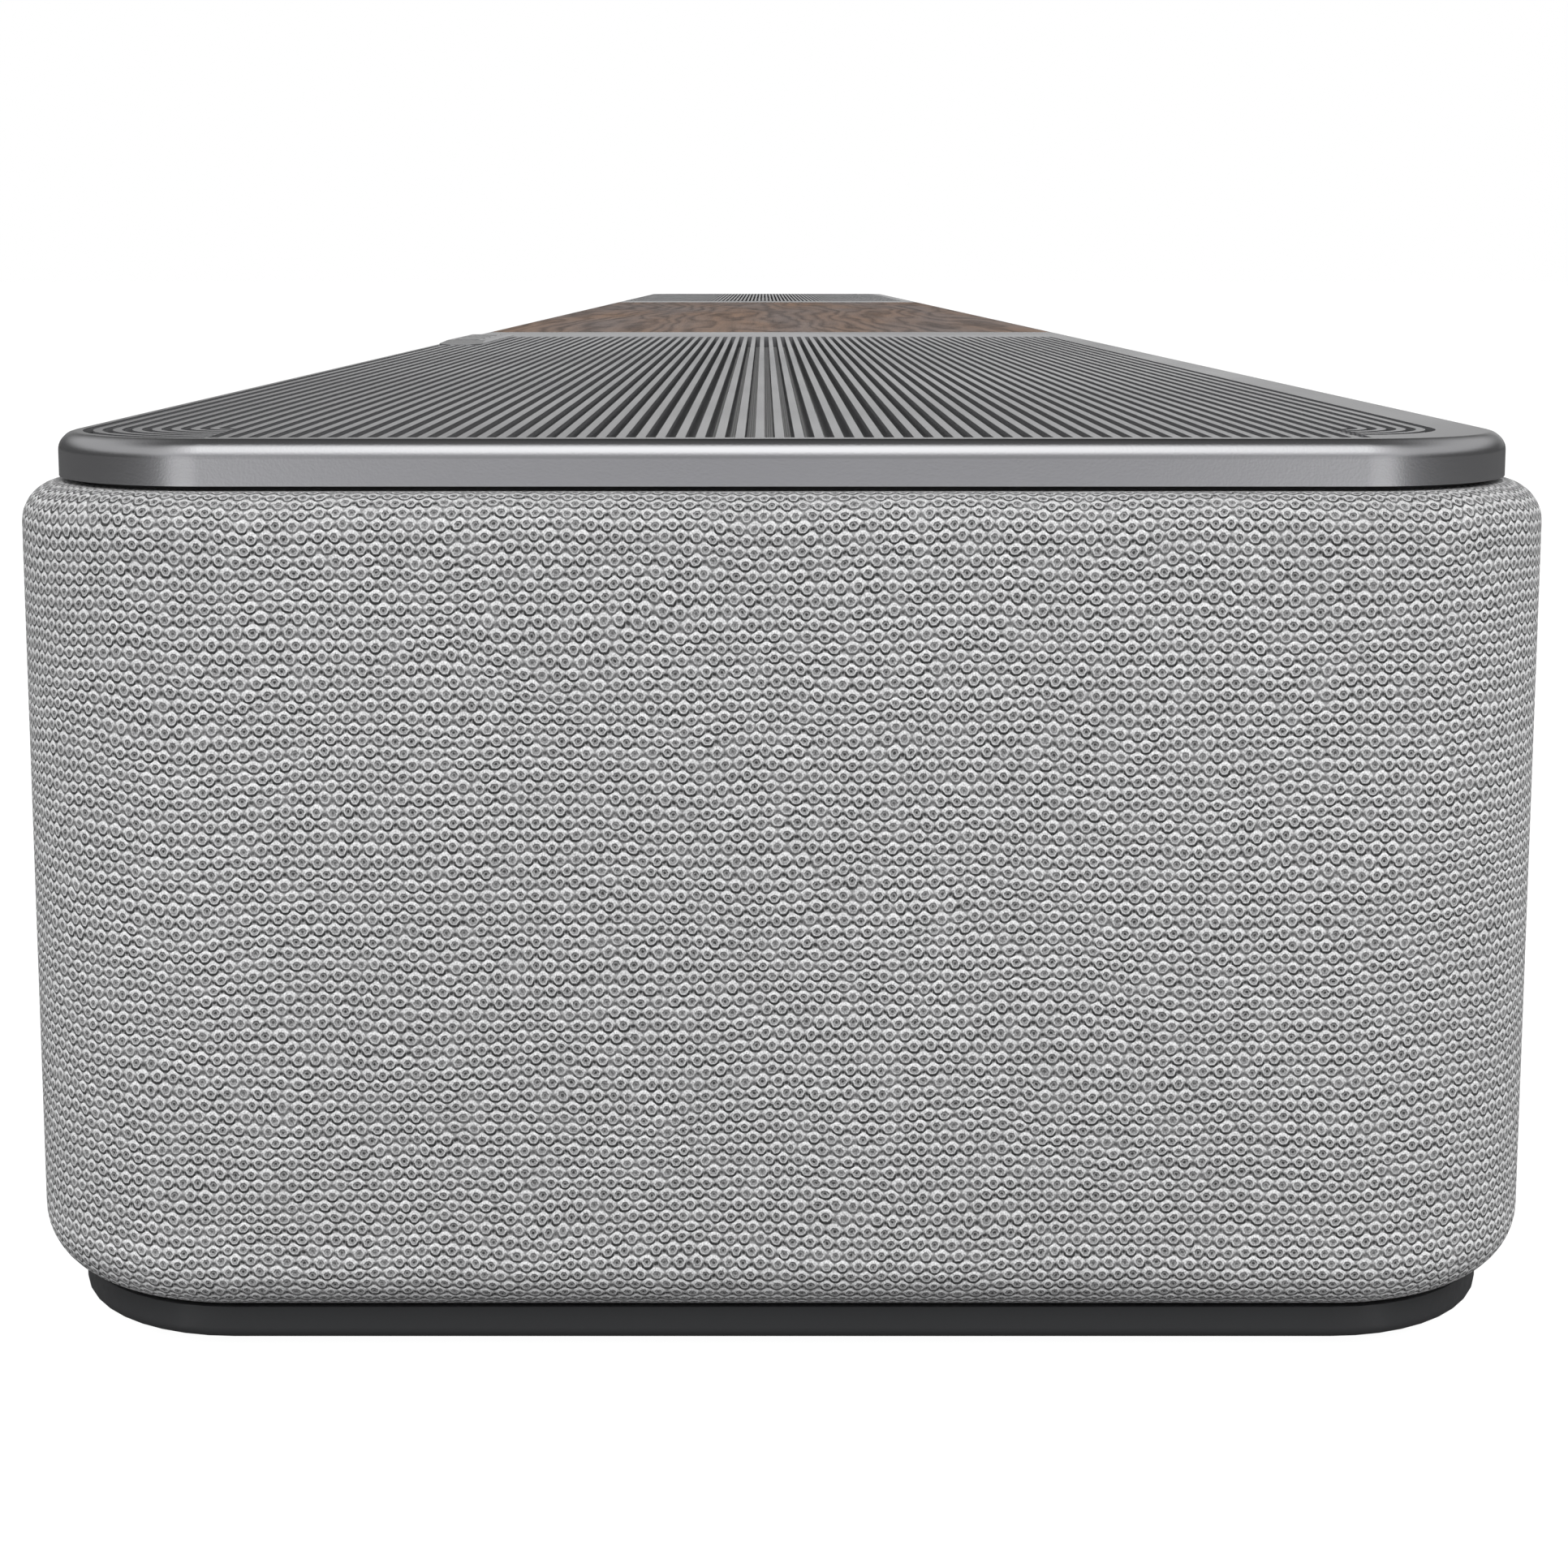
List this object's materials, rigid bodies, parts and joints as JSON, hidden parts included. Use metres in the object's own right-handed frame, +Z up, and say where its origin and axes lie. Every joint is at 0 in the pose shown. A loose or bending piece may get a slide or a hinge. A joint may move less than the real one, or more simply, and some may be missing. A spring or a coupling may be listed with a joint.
{
  "type": "soundbar",
  "caption": "Long low soundbar with a knitted fabric body, slotted aluminium top plate, wood inlay, raised control keys and a rear connector bay.",
  "frame": {"origin": "middle of the bar's footprint, on the surface that its feet stand on", "axes": "+X along the bar, -Y the front that faces the listener, +Z up"},
  "size_m": [1.1, 0.125, 0.0741],
  "materials": {
    "base_plastic": "fine satin moulded",
    "foot_rubber": "matte",
    "knit_fabric": "melange knit",
    "shell_plastic": "matte moulded",
    "plate_aluminium": "satin anodised",
    "key_aluminium": "satin anodised",
    "gasket_foam": "matte",
    "walnut": "open-pore satin",
    "mesh_steel": "woven, dark",
    "bay_plastic": "fine texture",
    "socket_metal": "plated",
    "socket_plastic": "moulded",
    "pin_brass": "plated",
    "button_plastic": "fine",
    "switch_body": "moulded",
    "circuit_board": "solder mask",
    "chamber_plastic": "moulded",
    "basket_steel": "black powder coat",
    "surround_rubber": "matte",
    "cone_paper": "pressed",
    "magnet_ferrite": "ferrite and zinc",
    "spider_cloth": "impregnated cloth",
    "dome_silk": "coated",
    "screw_steel": "zinc plated",
    "insert_brass": "machined",
    "shield_steel": "tin plated",
    "sink_aluminium": "extruded",
    "transformer_core": "varnished",
    "capacitor_sleeve": "shrink sleeve"
  },
  "bodies": {
    "cabinet": {"base_tray": "base_plastic", "rubber_feet": "foot_rubber", "base_screws": "screw_steel", "mount_inserts": "insert_brass", "front_shell": "shell_plastic", "rear_shells": "shell_plastic", "bay_bridges": "shell_plastic", "fabric_sleeve": "knit_fabric", "top_plate": "plate_aluminium", "plate_gasket": "gasket_foam", "plate_screws": "screw_steel", "wood_panel": "walnut", "grille_mesh_left": "mesh_steel", "grille_mesh_right": "mesh_steel", "key_bezel": "key_aluminium", "key_board": "circuit_board", "key_switches": "switch_body", "rear_bay": "bay_plastic", "hdmi_sockets": "socket_metal", "usb_socket": "socket_metal", "optical_socket": "socket_plastic", "power_inlet": "socket_plastic", "inlet_pins": "pin_brass", "pairing_switch": "switch_body", "io_board": "circuit_board", "front_baffle": "chamber_plastic", "end_baffles": "chamber_plastic", "left_chamber": "chamber_plastic", "right_chamber": "chamber_plastic", "centre_chamber": "chamber_plastic", "driver_baskets": "basket_steel", "driver_surrounds": "surround_rubber", "driver_magnets": "magnet_ferrite", "driver_spiders": "spider_cloth", "driver_screws": "screw_steel", "tweeter_plates": "chamber_plastic", "tweeter_domes": "dome_silk", "tweeter_magnets": "magnet_ferrite", "main_board": "circuit_board", "wireless_module": "shield_steel", "amplifier_board": "circuit_board", "heat_sink": "sink_aluminium", "power_supply_board": "circuit_board", "transformer": "transformer_core", "capacitors": "capacitor_sleeve", "status_light_board": "circuit_board"},
    "power_key_body": {"power_key": "key_aluminium"},
    "source_key_body": {"source_key": "key_aluminium"},
    "volume_down_key_body": {"volume_down_key": "key_aluminium"},
    "volume_up_key_body": {"volume_up_key": "key_aluminium"},
    "pairing_button_body": {"pairing_button": "button_plastic"},
    "woofer_cone_1_body": {"woofer_cone_1": "cone_paper"},
    "woofer_cone_2_body": {"woofer_cone_2": "cone_paper"},
    "woofer_cone_3_body": {"woofer_cone_3": "cone_paper"},
    "woofer_cone_4_body": {"woofer_cone_4": "cone_paper"},
    "side_cone_left_body": {"side_cone_left": "cone_paper"},
    "side_cone_right_body": {"side_cone_right": "cone_paper"},
    "up_cone_left_body": {"up_cone_left": "cone_paper"},
    "up_cone_right_body": {"up_cone_right": "cone_paper"}
  },
  "joints": [
    {"name": "power_key_press", "type": "slide", "parent": "cabinet", "child": "power_key_body", "axis": [0, 0, -1], "range_m": [0, 0.0005], "stiffness_N_per_m": 400},
    {"name": "source_key_press", "type": "slide", "parent": "cabinet", "child": "source_key_body", "axis": [0, 0, -1], "range_m": [0, 0.0005], "stiffness_N_per_m": 400},
    {"name": "volume_down_key_press", "type": "slide", "parent": "cabinet", "child": "volume_down_key_body", "axis": [0, 0, -1], "range_m": [0, 0.0005], "stiffness_N_per_m": 400},
    {"name": "volume_up_key_press", "type": "slide", "parent": "cabinet", "child": "volume_up_key_body", "axis": [0, 0, -1], "range_m": [0, 0.0005], "stiffness_N_per_m": 400},
    {"name": "pairing_button_press", "type": "slide", "parent": "cabinet", "child": "pairing_button_body", "axis": [0, -1, 0], "range_m": [0, 0.0005], "stiffness_N_per_m": 400},
    {"name": "woofer_cone_1_travel", "type": "slide", "parent": "cabinet", "child": "woofer_cone_1_body", "axis": [0, -1, 0], "range_m": [-0.0015, 0.0015], "stiffness_N_per_m": 900},
    {"name": "woofer_cone_2_travel", "type": "slide", "parent": "cabinet", "child": "woofer_cone_2_body", "axis": [0, -1, 0], "range_m": [-0.0015, 0.0015], "stiffness_N_per_m": 900},
    {"name": "woofer_cone_3_travel", "type": "slide", "parent": "cabinet", "child": "woofer_cone_3_body", "axis": [0, -1, 0], "range_m": [-0.0015, 0.0015], "stiffness_N_per_m": 900},
    {"name": "woofer_cone_4_travel", "type": "slide", "parent": "cabinet", "child": "woofer_cone_4_body", "axis": [0, -1, 0], "range_m": [-0.0015, 0.0015], "stiffness_N_per_m": 900},
    {"name": "side_cone_left_travel", "type": "slide", "parent": "cabinet", "child": "side_cone_left_body", "axis": [-1, 0, 0], "range_m": [-0.0015, 0.0015], "stiffness_N_per_m": 900},
    {"name": "side_cone_right_travel", "type": "slide", "parent": "cabinet", "child": "side_cone_right_body", "axis": [1, 0, 0], "range_m": [-0.0015, 0.0015], "stiffness_N_per_m": 900},
    {"name": "up_cone_left_travel", "type": "slide", "parent": "cabinet", "child": "up_cone_left_body", "axis": [0, 0, 1], "range_m": [-0.0015, 0.0015], "stiffness_N_per_m": 900},
    {"name": "up_cone_right_travel", "type": "slide", "parent": "cabinet", "child": "up_cone_right_body", "axis": [0, 0, 1], "range_m": [-0.0015, 0.0015], "stiffness_N_per_m": 900}
  ]
}
